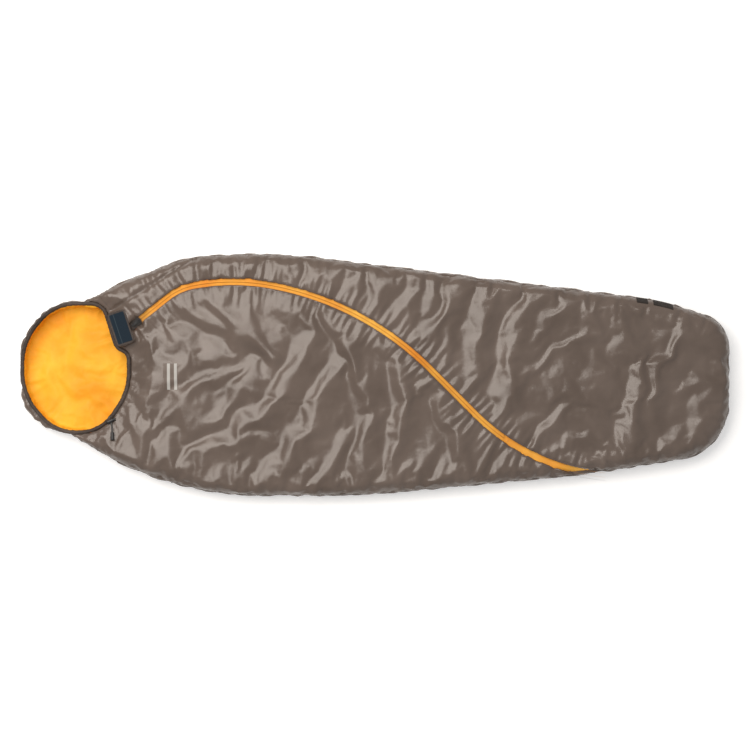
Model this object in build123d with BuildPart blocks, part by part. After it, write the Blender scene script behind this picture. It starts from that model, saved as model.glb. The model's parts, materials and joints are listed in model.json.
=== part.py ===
"""A mummy sleeping bag laid flat on its back, closed.

+X runs from the hood to the foot, +Y to the side that the zip opens on, and +Z up.
The origin is the middle of the footprint, on the floor. All sizes are in millimetres.

The bag is a back pad, a side wall and a front pad around one cavity. The front pad is cut by the
zip: the part below it, the front flap, folds open about a straight line along the far side.
"""

import math
import os

from build123d import *

# ---------------------------------------------------------------- driving dimensions
FABRIC = 2.0  # outer fabric or lining, quilted
BACK_THICK = 24.0  # back pad, floor to lining
CAVITY = 46.0  # free height inside
FRONT_THICK = 30.0  # front pad
FRONT_BOTTOM = BACK_THICK + CAVITY
TOP = FRONT_BOTTOM + FRONT_THICK
WALL = 35.0  # side wall, outer face to lining
HOOD_WALL = 12.0
TOP_ROUND = 40.0  # rolled upper edge
FLOOR_ROUND = 14.0  # rolled lower edge

# Outline of the body: corner x, y and the radius that rounds it, from the neck round the foot.
BODY_CORNERS = [
    (-905, 227, 0),
    (-790, 287, 400),
    (-572, 371, 450),
    (-290, 378.5, 1500),
    (880, 234, 700),
    (1100, 164, 110),
    (1100, -238, 180),
    (700, -303, 2500),
    (-20, -375, 3000),
    (-640, -375, 1000),
    (-955, -178, 0),
]
# Outline of the hood, fuller towards the crown and one cheek, and the oval of its inside.
HOOD_CORNERS = [
    (-742, -62, 168),
    (-847, -191, 150),
    (-1030, -168, 120),
    (-1100, -88, 130),
    (-1100, 112, 110),
    (-1005, 228, 160),
    (-847, 228, 150),
    (-742, 106, 168),
]
HOOD_CENTRE = (-921, 22)
HOOD_HALF = (179, 204)
HOOD_ROUND = 10.0

# The face opening is edged by a round drawcord channel, whose middle line this is.
RIM_CORNERS = [
    (-762, -50, 190),
    (-848, -177.5, 130),
    (-992, -177.5, 140),
    (-1092.5, -60, 190),
    (-1092.5, 104, 190),
    (-992, 221.5, 140),
    (-843, 221.5, 50),
    (-800, 84, 40),
    (-762, 66, 30),
]
RIM_R = 4.5
RIM_BORE_R = 1.6
RIM_Z = FRONT_BOTTOM + RIM_R
CORD_R = 1.2
NECK_SLOPE_RUN = 62.0  # the pads slope down to the rim over this width
NECK_SLOPE_LOW = RIM_Z + RIM_R

# The zip: from the neck, a straight pull, three bends towards the foot, a straight, one bend back.
ZIP_TOP = (-747, 154)
ZIP_HEADING = 38.5
ZIP_STRAIGHT = 136
ZIP_BENDS = [(185, -27.8), (650, -20.7), (930, -35.0)]
ZIP_DIAGONAL = 195
ZIP_LAST_BEND = (660, 40.0)
CHANNEL_W = 26.0
CHANNEL_LEAD = 16.0  # the channel starts this far before the zip, to park the pull tab
TAPE_Z = 88.0
TAPE_T = 1.2
TAPE_SLOT = 2.0  # the two tape edges stand this far apart
COIL_W = 3.0
COIL_T = 2.5
STOP_SIZE = (3.0, 2.4, 1.8)
BOTTOM_STOP_SIZE = (4.0, 9.0, 1.8)
BOTTOM_STOP_AT = 1356.0  # along the zip
DRAFT_W = 60.0
DRAFT_T = 7.7

# The flap folds about a line through these two points, at the top face.
FOLD_START = (-808, -118)
FOLD_END = (700, -300)
FLAP_LENGTH = 1208.0  # along the fold line; beyond it the zip is sewn shut
PARTING = 1.2
NECK_CORNER = (-768, 68)  # where the parting from the zip's top meets the rim
NECK_PARTING = 4.0

# Slider, at rest this far along the zip, and its pull tab.
SLIDER_AT = 18.0
SLIDER_SIZE = (20.0, 14.0)
PLATE_T = 1.6
POST_T = 1.2
BAIL_X = 4.0
PIN_R = 0.8
PIN_Z = 93.4
PULL_REACH = 27.0
PULL_W = 8.0
PULL_T = 1.4

# Neck tab: a stiff strap that covers the zip's top and is held by touch tape.
TAB_CENTRE = (-783, 145)
TAB_SIZE = (56, 106)
TAB_TURN = 18.4
TAB_T = 2.8
LABEL_SIZE = (46, 94)
LABEL_T = 0.8
PATCH_SIZE = (36, 60)
PATCH_SHIFT = (-4, 18)
PATCH_T = 1.3
PATCH_GAP = 0.3
FOOT_SIZE = (14, 8)
FOOT_SHIFT = (19, -49)
TAB_Z = TOP + 2 * PATCH_T + PATCH_GAP

CHEST_PATCH_CENTRE = (-631, -5)
CHEST_PATCH_SIZE = (43, 81)
CHEST_PATCH_T = 0.6

# Cord lock, its sprung plunger, the two cord ends and the bead that joins them.
LOCK_CENTRE = (-818, -142, 87.5)
LOCK_AXIS = (0.912, 0.410, 0)
LOCK_R = 6.0
LOCK_HALF = 10.0
LOCK_BORE_R = 4.2
LOCK_SLOT = (5.4, 2.9)
PLUNGER_R = 4.0
PLUNGER_TRAVEL = 3.0
PLUNGER_HEAD_R = 5.4
CORD_SPACING = 2.6
CORD_X = 1.0
BEND_R = 4.0
CORD_BEND_AT = -10.0
CORD_BEND_R = 40.0
BEAD_START = (-810.9, -177.1, 95.9)
BEAD_AXIS = (0.074, -0.95, 0.302)
BEAD_LENGTH = 25.0
BEAD_R = 5.5
CORD_GAP = 0.0

# Hanging loops on the rolled edge at the foot: distance along +X, length of the strap.
HANG_LOOPS = [(826, 34), (891, 60)]
LOOP_T = 1.8
LOOP_LOW = 76.0
LOOP_HIGH = 94.0


# ---------------------------------------------------------------- outlines
def rounded(corners, grow=0.0):
    """A closed outline of straight runs and tangent arcs, grown or shrunk by an even margin."""
    with BuildSketch() as shape:
        with BuildLine():
            FilletPolyline(
                *[(x, y) for x, y, _ in corners],
                radius=[r for _, _, r in corners],
                close=True,
            )
        make_face()
        if grow:
            offset(amount=grow)
    return shape.sketch


def oval_corners(centre, half):
    """The eight corners of a stretched octagon, rounded until the arcs nearly meet."""
    cx, cy = centre
    a, b = half
    reach = math.tan(math.radians(22.5))
    edge = min(2 * a * reach, 2 * b * reach)
    radius = 0.43 * edge / reach
    signs = [(1, -reach), (reach, -1), (-reach, -1), (-1, -reach)]
    signs += [(-1, reach), (-reach, 1), (reach, 1), (1, reach)]
    return [(cx + a * u, cy + b * v, radius) for u, v in signs]


def body_outline(inset=0.0):
    return rounded(BODY_CORNERS, -inset)


def hood_outline(inset=0.0):
    return rounded(HOOD_CORNERS, -inset)


def hood_oval(inset):
    half = (HOOD_HALF[0] - inset, HOOD_HALF[1] - inset)
    return rounded(oval_corners(HOOD_CENTRE, half))


def rim_outline(grow=0.0):
    return rounded(RIM_CORNERS, grow)


def rim_band(half_width):
    with BuildSketch() as band:
        add(rim_outline(half_width))
        add(rim_outline(-half_width), mode=Mode.SUBTRACT)
    return band.sketch


def zip_line(lead=0.0, length_after=0.0):
    """The zip's middle line, started early by lead and carried on past its end."""
    along = (math.cos(math.radians(ZIP_HEADING)), math.sin(math.radians(ZIP_HEADING)))
    start = (ZIP_TOP[0] - lead * along[0], ZIP_TOP[1] - lead * along[1])
    with BuildLine() as line:
        last = PolarLine(start, ZIP_STRAIGHT + lead, ZIP_HEADING)
        for radius, turn in ZIP_BENDS:
            last = JernArc(last @ 1, last % 1, radius, turn)
        last = PolarLine(last @ 1, ZIP_DIAGONAL, direction=last % 1)
        last = JernArc(last @ 1, last % 1, *ZIP_LAST_BEND)
        if length_after:
            PolarLine(last @ 1, length_after, direction=last % 1)
    return line.line


def zip_band(width, lead=0.0, length_after=0.0):
    with BuildSketch() as band:
        trace(zip_line(lead, length_after), width)
    return band.sketch


def zip_plane(distance, z):
    """A plane on the zip: its X runs along the zip, its Y towards the fixed side."""
    route = Wire(zip_line().edges())
    share = distance / route.length
    return Plane(origin=(route @ share) + (0, 0, z), x_dir=route % share, z_dir=(0, 0, 1))


def fold_rectangle(x_low, x_high, y_low, y_high):
    """A rectangle given along and across the fold line, measured from its start."""
    run = (FOLD_END[0] - FOLD_START[0], FOLD_END[1] - FOLD_START[1])
    with BuildSketch(Plane(origin=FOLD_START, x_dir=(*run, 0), z_dir=(0, 0, 1))) as area:
        with Locations(((x_low + x_high) / 2, (y_low + y_high) / 2)):
            Rectangle(x_high - x_low, y_high - y_low)
    return area.sketch


def flap_region():
    """The plan of the flap out to the middle of the zip and the fold line."""
    route = zip_line()
    with BuildSketch() as region:
        with BuildLine():
            add(route)
            Polyline(route @ 1, (route @ 1) - (0, 200), (-860, -500), (-860, 20))
            Polyline((-860, 20), (-800, 40), NECK_CORNER, ZIP_TOP)
        make_face()
        add(fold_rectangle(-100, FLAP_LENGTH, 0, 700), mode=Mode.INTERSECT)
    return region.sketch


def parting():
    """The gaps that free the flap at the fold line, at its foot end and at the neck corner."""
    with BuildSketch() as gap:
        add(fold_rectangle(-100, FLAP_LENGTH, -PARTING / 2, PARTING / 2))
        add(fold_rectangle(FLAP_LENGTH - PARTING / 2, FLAP_LENGTH + PARTING / 2, 0, 90))
        with BuildLine() as neck_cut:
            Polyline(ZIP_TOP, NECK_CORNER, (-800, 40), (-860, 20))
        trace(neck_cut.line, NECK_PARTING)
    return gap.sketch


def prism(sketch, low, high):
    with BuildPart() as block:
        with BuildSketch(Plane.XY.offset(low)):
            add(sketch)
        extrude(amount=high - low)
    return block.part


def pad(sketch, low, high, radius, top):
    """A slab whose upper or lower rim is rolled; the straight neck edge is left square."""
    with BuildPart() as slab:
        with BuildSketch(Plane.XY.offset(low)):
            add(sketch)
        extrude(amount=high - low)
        rim = slab.faces().sort_by(Axis.Z)[-1 if top else 0].edges()
        if rim.sort_by(Axis.X)[-1].center().X > 0:
            rim = rim.filter_by(lambda e: (e @ 0.5).X > -890 or abs((e @ 0.5).Y) > 170)
        fillet(rim, radius)
    return slab.part


def front_pad(inset):
    """The body above the back pad, shrunk evenly on its top and sides."""
    return pad(body_outline(inset), BACK_THICK, TOP - inset, TOP_ROUND - inset, top=True)


def tab_plane(z):
    """A plane at the neck tab's middle: its X along the width, its Y towards the hood."""
    turn = math.radians(TAB_TURN)
    along_width = (math.cos(turn), math.sin(turn), 0)
    return Plane(origin=(*TAB_CENTRE, z), x_dir=along_width, z_dir=(0, 0, 1))


def tab_prism(size, low, high, corner, shift=(0, 0)):
    with BuildPart() as block:
        with BuildSketch(tab_plane(low)):
            with Locations(shift):
                RectangleRounded(*size, corner)
        extrude(amount=high - low)
    return block.part


def neck_slope(drop):
    """The dished cut that slopes the pads down to the rim, left out under the neck tab."""
    low, high = NECK_SLOPE_LOW - drop, TOP + 1 - drop
    wide = (HOOD_HALF[0] + NECK_SLOPE_RUN, HOOD_HALF[1] + NECK_SLOPE_RUN)
    margin = 3 - 2 * drop
    with BuildPart() as dish:
        with BuildSketch(Plane.XY.offset(low)):
            with Locations(HOOD_CENTRE):
                Ellipse(HOOD_HALF[0] - 2, HOOD_HALF[1] - 2)
        with BuildSketch(Plane.XY.offset(high)):
            with Locations(HOOD_CENTRE):
                Ellipse(*wide)
        loft()
        with BuildSketch(Plane.XY.offset(high)):
            with Locations(HOOD_CENTRE):
                Ellipse(*wide)
        extrude(amount=10)
        size = (TAB_SIZE[0] + margin, TAB_SIZE[1] + margin)
        add(tab_prism(size, BACK_THICK, TOP + 20, 8), mode=Mode.SUBTRACT)
    return dish.part


def zip_channel(width, lead, floor_inset):
    """The zip's recess: right through under the flap, shallow where it is sewn shut."""
    with BuildPart() as recess:
        add(prism(zip_band(width, lead, 120), FRONT_BOTTOM, TOP + 2))
        with BuildPart(mode=Mode.SUBTRACT):
            add(front_pad(floor_inset))
            add(tail_block, mode=Mode.INTERSECT)
    return recess.part


def carve(solid, cutters):
    with BuildPart() as carved:
        add(solid)
        for cutter in cutters:
            add(cutter, mode=Mode.SUBTRACT)
    return carved.part


def common(solid, zone, cutters=()):
    with BuildPart() as shared:
        add(solid)
        add(zone, mode=Mode.INTERSECT)
        for cutter in cutters:
            add(cutter, mode=Mode.SUBTRACT)
    return shared.part


def ring(outer, cutters, low, high):
    """A wall: an outline less other outlines, raised between two heights."""
    with BuildPart() as wall:
        with BuildSketch(Plane.XY.offset(low)):
            add(outer)
            for cutter in cutters:
                add(cutter, mode=Mode.SUBTRACT)
        extrude(amount=high - low)
    return wall.part


def save(shape, name):
    shape.label = name
    export_step(shape, f"parts/{name}.step")
    print(name, len(shape.solids()), round(shape.volume / 1000, 2))


def save_sectors(shape, name):
    """Saves a piece that runs round the hood as four, parted along lines from its middle."""
    for i, (start, end) in enumerate([(0, 134), (134, 180), (180, 228), (228, 360)], start=1):
        spokes = [(0, 0)]
        for angle in (start, (start + end) / 2, end):
            turn = math.radians(angle)
            spokes.append((600 * math.cos(turn), 600 * math.sin(turn)))
        with BuildSketch() as wedge:
            with Locations(HOOD_CENTRE):
                Polygon(*spokes, align=None)
        save(common(shape, prism(wedge.sketch, 0, TOP + 5)), f"{name}_{i}")


os.makedirs("parts", exist_ok=True)

# ---------------------------------------------------------------- back pad
with BuildPart() as back_outer:
    add(pad(body_outline(), 0, BACK_THICK, FLOOR_ROUND, top=False))
    add(pad(hood_outline(), 0, BACK_THICK, FLOOR_ROUND, top=False))

with BuildPart() as back_inner:
    add(pad(body_outline(FABRIC), FABRIC, BACK_THICK, FLOOR_ROUND - FABRIC, top=False))
    add(pad(hood_outline(FABRIC), FABRIC, BACK_THICK, FLOOR_ROUND - FABRIC, top=False))

save(carve(back_outer.part, [back_inner.part]), "back_shell")

with BuildPart() as back_insulation:
    add(back_inner.part)
    split(bisect_by=Plane.XY.offset(BACK_THICK - FABRIC), keep=Keep.BOTTOM)
save(back_insulation.part, "back_insulation")

with BuildPart() as back_lining:
    add(back_inner.part)
    split(bisect_by=Plane.XY.offset(BACK_THICK - FABRIC), keep=Keep.TOP)
save(back_lining.part, "back_lining")

# ---------------------------------------------------------------- side and hood walls
body_inside = body_outline(WALL)
hood_inside = hood_oval(HOOD_WALL)
body_lined = body_outline(WALL - FABRIC)
hood_lined = hood_oval(HOOD_WALL - FABRIC)
lined = [body_lined, hood_lined]
inside = [body_inside, hood_inside]

side_shell = ring(body_outline(), [body_outline(FABRIC), *lined], BACK_THICK, FRONT_BOTTOM)
save(side_shell, "side_shell")
side_insulation = ring(body_outline(FABRIC), lined, BACK_THICK, FRONT_BOTTOM)
save(side_insulation, "side_insulation")
side_lining = ring(body_lined, inside, BACK_THICK, FRONT_BOTTOM)
save(side_lining, "side_lining")

hood_outer = pad(hood_outline(), BACK_THICK, FRONT_BOTTOM, HOOD_ROUND, top=True)
hood_inner = pad(
    hood_outline(FABRIC), BACK_THICK, FRONT_BOTTOM - FABRIC, HOOD_ROUND - FABRIC, top=True
)
not_hood = [
    ring(hood_lined, [], BACK_THICK, FRONT_BOTTOM),
    ring(body_outline(), [], BACK_THICK, FRONT_BOTTOM),
]
save(carve(hood_outer, [hood_inner, *not_hood]), "hood_shell")
save_sectors(carve(hood_inner, not_hood), "hood_insulation")
hood_lining = ring(hood_lined, [hood_inside, body_lined], BACK_THICK, FRONT_BOTTOM)
save(hood_lining, "hood_lining")

# ---------------------------------------------------------------- shared cutters of the front pad
flap_block = prism(flap_region(), FRONT_BOTTOM - 5, TOP + 5)
gap_block = prism(parting(), FRONT_BOTTOM - 5, TOP + 5)
tail_block = prism(fold_rectangle(FLAP_LENGTH, 2000, -300, 300), 0, TOP + 5)
lining_block = ring(body_lined, [], FRONT_BOTTOM, FRONT_BOTTOM + FABRIC)
upper_block = prism(fold_rectangle(-500, 2500, -600, 900), FRONT_BOTTOM, TOP + 5)

outer_cutters = [
    neck_slope(0),
    prism(rim_outline(RIM_R), FRONT_BOTTOM, TOP + 5),
    zip_channel(CHANNEL_W, CHANNEL_LEAD, TOP - TAPE_Z),
]
inner_cutters = [
    neck_slope(FABRIC),
    prism(rim_outline(RIM_R + FABRIC), FRONT_BOTTOM, TOP + 5),
    zip_channel(CHANNEL_W + 2 * FABRIC, CHANNEL_LEAD + FABRIC, TOP - TAPE_Z + FABRIC),
]
front_outer = common(front_pad(0), upper_block, outer_cutters)
front_inner = common(front_pad(FABRIC), upper_block, [*inner_cutters, lining_block])
front_skin = carve(front_outer, [front_inner, lining_block])
front_lined = common(front_outer, lining_block)

# ---------------------------------------------------------------- front pad, fixed part and flap
free = [flap_block, gap_block]
save(carve(front_skin, free), "front_shell")
save(carve(front_inner, free), "front_insulation")
save(carve(front_lined, free), "front_lining")
save(common(front_skin, flap_block, [gap_block]), "flap_shell")
save(common(front_inner, flap_block, [gap_block]), "flap_insulation")
save(common(front_lined, flap_block, [gap_block]), "flap_lining")

# ---------------------------------------------------------------- rim of the face opening
with BuildPart() as rim_tube:
    with BuildLine():
        FilletPolyline(
            *[(x, y, RIM_Z) for x, y, _ in RIM_CORNERS],
            radius=[r for _, _, r in RIM_CORNERS],
            close=True,
        )
    rim_wire = rim_tube.pending_edges_as_wire
    with BuildSketch(Plane(origin=rim_wire @ 0, z_dir=rim_wire % 0)):
        Circle(RIM_R)
        Circle(RIM_BORE_R, mode=Mode.SUBTRACT)
    sweep()

with BuildPart() as rim_cord:
    add(rim_wire)
    with BuildSketch(Plane(origin=rim_wire @ 0, z_dir=rim_wire % 0)):
        Circle(CORD_R)
    sweep()

save_sectors(carve(rim_tube.part, free), "hood_rim_channel")
save(carve(rim_cord.part, free), "hood_drawcord")
save(common(rim_tube.part, flap_block, [gap_block]), "neck_rim_channel")
save(common(rim_cord.part, flap_block, [gap_block]), "neck_drawcord")

# ---------------------------------------------------------------- zip
tape_zone = prism(zip_band(CHANNEL_W, 0, 120), FRONT_BOTTOM, TOP + 2)
tape_layer = common(carve(front_pad(TOP - TAPE_Z - TAPE_T), [front_pad(TOP - TAPE_Z)]), tape_zone)
slot_block = prism(zip_band(TAPE_SLOT, CHANNEL_LEAD, 120), FRONT_BOTTOM, TOP + 2)
near_block = prism(fold_rectangle(-100, FLAP_LENGTH - 1, -20, 700), FRONT_BOTTOM - 5, TOP + 5)
tapes = carve(tape_layer, [slot_block])
tape_tail = common(tape_layer, tail_block)
coils = prism(zip_band(TAPE_SLOT + 2 * COIL_W), TAPE_Z - COIL_T, TAPE_Z)
coils = common(coils, near_block, [slot_block])

save(common(tapes, near_block, free), "zip_tape_fixed")
save(common(tapes, flap_block, [gap_block]), "zip_tape_flap")
save(tape_tail, "zip_tape_tail")
save(carve(coils, free), "zip_coil_fixed")
save(common(coils, flap_block, [gap_block]), "zip_coil_flap")

for name, side in (("zip_top_stop_fixed", 1), ("zip_top_stop_flap", -1)):
    with BuildPart() as stop:
        with BuildSketch(zip_plane(5, TAPE_Z + TAPE_T)):
            with Locations((0, side * (TAPE_SLOT + STOP_SIZE[1]) / 2)):
                Rectangle(STOP_SIZE[0], STOP_SIZE[1])
        extrude(amount=STOP_SIZE[2])
    save(stop.part, name)

with BuildPart() as bottom_stop:
    with BuildSketch(zip_plane(BOTTOM_STOP_AT, TAPE_Z + TAPE_T)):
        RectangleRounded(BOTTOM_STOP_SIZE[0], BOTTOM_STOP_SIZE[1], 0.8)
    extrude(amount=BOTTOM_STOP_SIZE[2])
save(bottom_stop.part, "zip_bottom_stop")

with BuildPart() as draft_tube:
    with BuildSketch(Plane.XY.offset(FRONT_BOTTOM - 0.3 - DRAFT_T)):
        add(zip_band(DRAFT_W, -12))
    extrude(amount=DRAFT_T)
    add(tail_block, mode=Mode.SUBTRACT)
    with BuildSketch(Plane.XY.offset(FRONT_BOTTOM - 0.3)):
        add(zip_band(DRAFT_W, -12))
        add(zip_band(DRAFT_W - 12, CHANNEL_LEAD, 10), mode=Mode.SUBTRACT)
        add(flap_region(), mode=Mode.SUBTRACT)
        add(fold_rectangle(FLAP_LENGTH - 60, 2000, -300, 300), mode=Mode.SUBTRACT)
    extrude(amount=0.3)
save(draft_tube.part, "draft_tube")

# ---------------------------------------------------------------- slider and pull tab
TAPE_TOP = TAPE_Z + TAPE_T
PLATE_Z = TAPE_TOP + 0.2
LUG_Y = 3.2
with BuildPart() as slider:
    with BuildSketch(zip_plane(SLIDER_AT, PLATE_Z)):
        RectangleRounded(*SLIDER_SIZE, 4)
    extrude(amount=PLATE_T)
    with BuildSketch(zip_plane(SLIDER_AT, PLATE_Z)):
        with Locations((1, 0)):
            Rectangle(6, POST_T)
    extrude(amount=-(PLATE_Z - TAPE_Z + COIL_T + 0.9))
    with BuildSketch(zip_plane(SLIDER_AT, TAPE_Z - COIL_T - 0.9)):
        with Locations((0, -SLIDER_SIZE[1] / 4)):
            Rectangle(SLIDER_SIZE[0], SLIDER_SIZE[1] / 2 + POST_T)
    extrude(amount=-1.5)
    with BuildSketch(zip_plane(SLIDER_AT, PLATE_Z + PLATE_T)):
        with Locations((BAIL_X, LUG_Y), (BAIL_X, -LUG_Y)):
            Rectangle(4.4, 1.4)
    extrude(amount=PIN_Z + 1.4 - PLATE_Z - PLATE_T)
    pin_plane = zip_plane(SLIDER_AT, PIN_Z)
    pin_start = pin_plane.from_local_coords((BAIL_X, LUG_Y, 0))
    with BuildSketch(Plane(origin=pin_start, z_dir=-pin_plane.y_dir)):
        Circle(PIN_R)
    extrude(amount=2 * LUG_Y)
save(slider.part, "slider_body")

EYE_R = 2.0
EYE_W = 4.4
with BuildPart() as pull:
    eye_start = pin_plane.from_local_coords((BAIL_X, EYE_W / 2, 0))
    with BuildSketch(Plane(origin=eye_start, z_dir=-pin_plane.y_dir)):
        Circle(EYE_R)
    extrude(amount=EYE_W)
    with BuildSketch(zip_plane(SLIDER_AT, PIN_Z - PULL_T / 2)):
        with Locations((BAIL_X - 5, 0)):
            Rectangle(10, EYE_W)
        with Locations((BAIL_X - PULL_REACH / 2 - 4, 0)):
            RectangleRounded(PULL_REACH - 8, PULL_W, 2.5)
        with Locations((BAIL_X - PULL_REACH + 5, 0)):
            SlotOverall(5, 2.4, rotation=90, mode=Mode.SUBTRACT)
    extrude(amount=PULL_T)
    with BuildSketch(Plane(origin=eye_start, z_dir=-pin_plane.y_dir)):
        Circle(PIN_R + 0.2)
    extrude(amount=EYE_W, mode=Mode.SUBTRACT)
save(pull.part, "pull_tab")

# ---------------------------------------------------------------- neck tab
loop_patch = tab_prism(PATCH_SIZE, TOP, TOP + PATCH_T, 3, PATCH_SHIFT)
save(loop_patch, "neck_loop_patch")
save(tab_prism(PATCH_SIZE, TAB_Z - PATCH_T, TAB_Z, 3, PATCH_SHIFT), "neck_tab_hook_patch")
save(tab_prism(FOOT_SIZE, TOP, TAB_Z, 1, FOOT_SHIFT), "neck_tab_foot")

with BuildPart() as neck_tab:
    with BuildSketch(tab_plane(TAB_Z)):
        RectangleRounded(*TAB_SIZE, 8)
    extrude(amount=TAB_T)
    fillet(neck_tab.faces().sort_by(Axis.Z)[-1].edges(), 1.0)
save(neck_tab.part, "neck_tab")

with BuildPart() as label:
    with BuildSketch(tab_plane(TAB_Z + TAB_T)):
        RectangleRounded(*LABEL_SIZE, 3)
    extrude(amount=LABEL_T)
save(label.part, "neck_tab_label")

with BuildPart() as chest_patch:
    with BuildSketch(Plane.XY.offset(TOP)):
        with Locations(CHEST_PATCH_CENTRE):
            RectangleRounded(*CHEST_PATCH_SIZE, 8)
    extrude(amount=CHEST_PATCH_T)
save(chest_patch.part, "chest_patch")

# ---------------------------------------------------------------- cord lock and cord ends
lock_plane = Plane(
    origin=LOCK_CENTRE, x_dir=(-LOCK_AXIS[1], LOCK_AXIS[0], 0), z_dir=(LOCK_AXIS[0], LOCK_AXIS[1], 0)
)


def lock_point(along, across, up):
    """A point by the cord lock: along its barrel, across towards the opening, and up."""
    a = Vector(*LOCK_AXIS)
    b = Vector(-LOCK_AXIS[1], LOCK_AXIS[0], 0)
    return Vector(*LOCK_CENTRE) + a * along + b * across + Vector(0, 0, up)


def lock_slot(length, centre):
    with BuildPart() as cut:
        plane = Plane(origin=lock_point(centre, 0, 0), x_dir=LOCK_AXIS, z_dir=(0, 0, 1))
        with Locations(plane):
            Box(length, 4 * LOCK_R, LOCK_SLOT[1])
    return cut.part


with BuildPart() as lock_body:
    with BuildSketch(lock_plane.offset(-LOCK_HALF)):
        Circle(LOCK_R)
    extrude(amount=2 * LOCK_HALF)
    fillet(lock_body.edges(), 1.2)
    with BuildSketch(lock_plane.offset(-LOCK_HALF + 2)):
        Circle(LOCK_BORE_R)
    extrude(amount=2 * LOCK_HALF, mode=Mode.SUBTRACT)
    add(lock_slot(LOCK_SLOT[0], CORD_X), mode=Mode.SUBTRACT)
save(lock_body.part, "cord_lock_body")

with BuildPart() as plunger:
    with BuildSketch(lock_plane.offset(-4)):
        Circle(PLUNGER_R)
    extrude(amount=LOCK_HALF + PLUNGER_TRAVEL + 4.4)
    with BuildSketch(lock_plane.offset(LOCK_HALF + PLUNGER_TRAVEL + 0.4)):
        Circle(PLUNGER_HEAD_R)
    extrude(amount=2.6)
    add(
        lock_slot(LOCK_SLOT[0] + PLUNGER_TRAVEL, CORD_X + PLUNGER_TRAVEL / 2),
        mode=Mode.SUBTRACT,
    )
save(plunger.part, "cord_lock_plunger")

EYELET_ACROSS = 11.0
CORD_FOOT = RIM_Z + RIM_R + 0.3 - LOCK_CENTRE[2]
with BuildPart() as eyelet:
    with BuildSketch(Plane(origin=lock_point(CORD_X, EYELET_ACROSS, CORD_FOOT), z_dir=(0, 0, -1))):
        Circle(4.0)
    extrude(amount=2.0)
    add(rim_tube.part, mode=Mode.SUBTRACT)
    add(rim_cord.part, mode=Mode.SUBTRACT)
save(eyelet.part, "cord_eyelet")

for name, side in (("drawcord_strand_a", -1), ("drawcord_strand_b", 1)):
    along = CORD_X + side * CORD_SPACING / 2
    bead_side = Vector(*BEAD_AXIS).cross(Vector(0, 0, 1)).normalized() * (-side * CORD_SPACING / 2)
    with BuildPart() as strand:
        with BuildLine():
            FilletPolyline(
                lock_point(along, EYELET_ACROSS, CORD_FOOT),
                lock_point(along, EYELET_ACROSS, 0),
                lock_point(along, CORD_BEND_AT, 0),
                Vector(*BEAD_START) + bead_side - Vector(*BEAD_AXIS) * CORD_GAP,
                radius=[BEND_R, CORD_BEND_R],
            )
        path = strand.pending_edges_as_wire
        with BuildSketch(Plane(origin=path @ 0, z_dir=path % 0)):
            Circle(CORD_R)
        sweep()
    print("cord length", round(path.length, 1), "volume by length", round(path.length * math.pi * CORD_R**2))
    save(strand.part, name)

with BuildPart() as bead:
    with BuildSketch(Plane(origin=BEAD_START, z_dir=BEAD_AXIS)):
        Circle(BEAD_R)
    extrude(amount=BEAD_LENGTH)
    fillet(bead.edges(), 2.0)
save(bead.part, "cord_end_bead")

# ---------------------------------------------------------------- hanging loops
loop_layer = carve(front_pad(-LOOP_T), [front_pad(0)])
for number, (x, length) in enumerate(HANG_LOOPS, 1):
    with BuildPart() as hang_loop:
        add(loop_layer)
        with Locations((x, 200, (LOOP_LOW + LOOP_HIGH) / 2)):
            Box(length, 200, LOOP_HIGH - LOOP_LOW, mode=Mode.INTERSECT)
    save(hang_loop.part, f"hang_loop_{number}")
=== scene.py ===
"""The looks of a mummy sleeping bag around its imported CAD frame. Units are metres."""

import json
import math

import bmesh
import bpy
import numpy as np
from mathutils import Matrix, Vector, noise
from mathutils.bvhtree import BVHTree
from mathutils.kdtree import KDTree


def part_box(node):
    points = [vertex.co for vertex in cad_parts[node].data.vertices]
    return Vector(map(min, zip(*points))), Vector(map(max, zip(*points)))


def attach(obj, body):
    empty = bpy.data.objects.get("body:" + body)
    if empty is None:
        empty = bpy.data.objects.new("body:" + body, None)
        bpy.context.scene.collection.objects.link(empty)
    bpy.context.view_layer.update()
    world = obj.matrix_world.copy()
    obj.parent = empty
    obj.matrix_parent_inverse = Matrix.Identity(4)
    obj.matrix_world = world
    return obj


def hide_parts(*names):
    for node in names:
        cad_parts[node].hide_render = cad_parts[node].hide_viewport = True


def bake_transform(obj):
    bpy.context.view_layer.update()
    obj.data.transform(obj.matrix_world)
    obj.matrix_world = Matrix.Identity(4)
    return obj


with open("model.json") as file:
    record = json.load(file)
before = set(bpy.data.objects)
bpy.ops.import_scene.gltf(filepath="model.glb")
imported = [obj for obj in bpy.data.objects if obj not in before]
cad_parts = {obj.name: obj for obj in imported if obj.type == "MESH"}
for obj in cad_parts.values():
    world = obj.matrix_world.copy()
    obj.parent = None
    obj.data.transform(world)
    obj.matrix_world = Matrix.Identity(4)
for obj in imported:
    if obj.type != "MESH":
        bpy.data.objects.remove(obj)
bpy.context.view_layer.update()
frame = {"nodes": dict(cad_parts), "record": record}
for name in ("Cube", "Light", "Camera"):
    if name in bpy.data.objects:
        bpy.data.objects.remove(bpy.data.objects[name])
NODES = frame["nodes"]
JOINTS = {j["name"]: j for j in frame["record"]["behaviour"]["joints"]}

FOLD_POINT = Vector(JOINTS["flap_fold"]["pos_m"])
FOLD_DIR = Vector(JOINTS["flap_fold"]["axis"]).normalized()
FOLD_NORMAL = Vector((-FOLD_DIR.y, FOLD_DIR.x, 0))
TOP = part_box("front_shell")[1][2]
FRONT_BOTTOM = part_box("front_shell")[0][2]
VOXEL = 0.0055
LOWER_VOXEL = 0.0062


# ------------------------------------------------------------------ mesh helpers
def points_of(mesh):
    co = np.empty(len(mesh.vertices) * 3)
    mesh.vertices.foreach_get("co", co)
    return co.reshape(-1, 3)


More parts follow.
